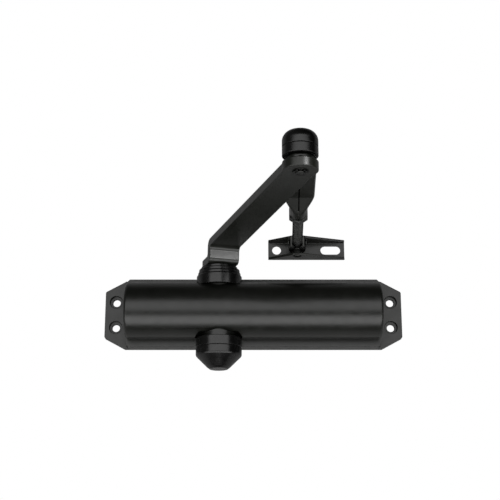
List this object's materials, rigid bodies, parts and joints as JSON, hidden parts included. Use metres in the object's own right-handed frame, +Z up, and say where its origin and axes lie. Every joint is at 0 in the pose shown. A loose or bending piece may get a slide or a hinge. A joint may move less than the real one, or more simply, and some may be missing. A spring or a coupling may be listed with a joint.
{
  "type": "door closer",
  "caption": "Overhead hydraulic rack-and-pinion door closer with a cast body, cranked main arm, adjustable forearm and slotted shoe, all in satin black.",
  "frame": {"origin": "centre of the four body screw holes, on the flat mounting face of the body", "axes": "+X along the body towards its spring end, +Y into the surface the body is screwed to, +Z up"},
  "size_m": [0.2192, 0.2014, 0.1135],
  "materials": {
    "black_painted_aluminium": "satin black paint on cast aluminium",
    "black_painted_steel": "satin black paint on steel bar and strip",
    "black_plastic": "moulded black plastic, fine texture",
    "zinc_steel": "zinc-plated steel",
    "blackened_steel": "black-oxide steel",
    "bright_steel": "ground steel",
    "spring_steel": "oiled spring steel",
    "raw_aluminium": "turned aluminium",
    "sintered_bronze": "oil-soaked sintered bronze",
    "seal_rubber": "nitrile rubber"
  },
  "bodies": {
    "closer_body": {"body_casting": "black_painted_aluminium", "spring_end_plug": "blackened_steel", "valve_end_plug": "blackened_steel", "plug_o_rings": "seal_rubber", "upper_bearing_nut": "zinc_steel", "lower_bearing_nut": "zinc_steel", "bearing_bushes": "sintered_bronze", "pinion_o_rings": "seal_rubber", "pinion_collar": "black_plastic", "lower_trim_ring": "black_plastic", "pinion_cap": "black_plastic", "main_spring": "spring_steel"},
    "closing_valve": {"closing_valve": "bright_steel", "closing_valve_seal": "seal_rubber"},
    "latching_valve": {"latching_valve": "bright_steel", "latching_valve_seal": "seal_rubber"},
    "piston": {"piston": "raw_aluminium", "check_ball_retainer": "bright_steel"},
    "check_ball": {"check_ball": "bright_steel"},
    "main_arm": {"pinion_shaft": "bright_steel", "main_arm": "black_painted_steel", "arm_washer": "blackened_steel", "arm_screw": "blackened_steel", "elbow_bush": "black_plastic"},
    "forearm": {"forearm": "black_painted_steel", "elbow_pin": "blackened_steel", "elbow_clip": "blackened_steel", "knuckle_ring": "black_plastic", "knuckle_cap": "black_plastic", "threaded_insert": "zinc_steel"},
    "adjuster_rod": {"adjuster_rod": "blackened_steel"},
    "lock_nut": {"lock_nut": "blackened_steel"},
    "yoke": {"swivel_yoke": "blackened_steel", "cross_pin": "blackened_steel"},
    "shoe": {"shoe_bracket": "black_painted_steel", "shoe_rivet": "blackened_steel", "shoe_washers": "blackened_steel"}
  },
  "joints": [
    {"name": "arm_swing", "type": "hinge", "parent": "closer_body", "child": "main_arm", "pos_m": [-0.025, -0.0195, 0], "axis": [0, 0, 1], "range_deg": [0, 165], "stiffness_Nm_per_rad": 4, "springref_deg": -68.75},
    {"name": "piston_slide", "type": "slide", "parent": "closer_body", "child": "piston", "axis": [1, 0, 0], "range_m": [0, 0.0244], "deforming": ["main_spring"]},
    {"name": "check_ball_lift", "type": "slide", "parent": "piston", "child": "check_ball", "axis": [-1, 0, 0], "range_m": [0, 0.0012]},
    {"name": "closing_valve_turn", "type": "hinge", "parent": "closer_body", "child": "closing_valve", "pos_m": [-0.085, -0.0095, 0.017], "axis": [1, 0, 0], "range_deg": [-360, 360]},
    {"name": "latching_valve_turn", "type": "hinge", "parent": "closer_body", "child": "latching_valve", "pos_m": [-0.085, -0.0095, -0.017], "axis": [1, 0, 0], "range_deg": [-360, 360]},
    {"name": "elbow", "type": "hinge", "parent": "main_arm", "child": "forearm", "pos_m": [0.0276, -0.19039, 0.05], "axis": [0, 0, 1], "range_deg": [-320, 0]},
    {"name": "rod_extend", "type": "slide", "parent": "forearm", "child": "adjuster_rod", "axis": [0.0286, 0.9996, 0], "range_m": [0, 0.007]},
    {"name": "lock_nut_spin", "type": "hinge", "parent": "adjuster_rod", "child": "lock_nut", "pos_m": [0.03051, -0.08903, 0.0509], "axis": [0.0286, 0.9996, 0], "continuous": true},
    {"name": "yoke_tilt", "type": "hinge", "parent": "adjuster_rod", "child": "yoke", "pos_m": [0.0324, -0.02295, 0.0509], "axis": [0.9996, -0.0286, 0], "range_deg": [-3, 3]},
    {"name": "shoe_pivot", "type": "hinge", "parent": "yoke", "child": "shoe", "pos_m": [0.0327, -0.01226, 0.0509], "axis": [0, 0, 1], "range_deg": [-60, 60]}
  ],
  "couplings": [
    {"joint": "piston_slide", "follows": "arm_swing", "m_per_rad": 0.0084}
  ]
}
